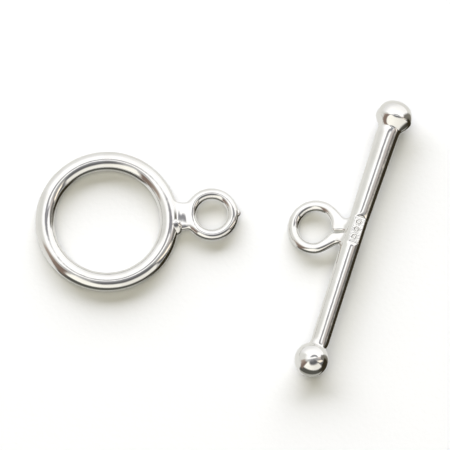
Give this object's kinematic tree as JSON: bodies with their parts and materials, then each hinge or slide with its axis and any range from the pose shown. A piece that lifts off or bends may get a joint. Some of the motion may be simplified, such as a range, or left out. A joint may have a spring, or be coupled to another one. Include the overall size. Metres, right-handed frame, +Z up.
{
  "type": "toggle clasp",
  "caption": "Silver toggle clasp: a round wire ring with a small soldered loop, and a slim straight bar with ball ends and a loop of its own, lying side by side.",
  "frame": {"origin": "on the surface that the clasp lies on, under the middle of the ring and the bar taken together", "axes": "+Z up from the surface; +X from the ring towards the bar; +Y towards the bar's upper ball, away from the viewer"},
  "size_m": [0.029, 0.0216, 0.0028],
  "materials": {
    "silver": null
  },
  "bodies": {
    "root": {"toggle_ring": "silver", "toggle_bar": "silver"}
  },
  "joints": []
}
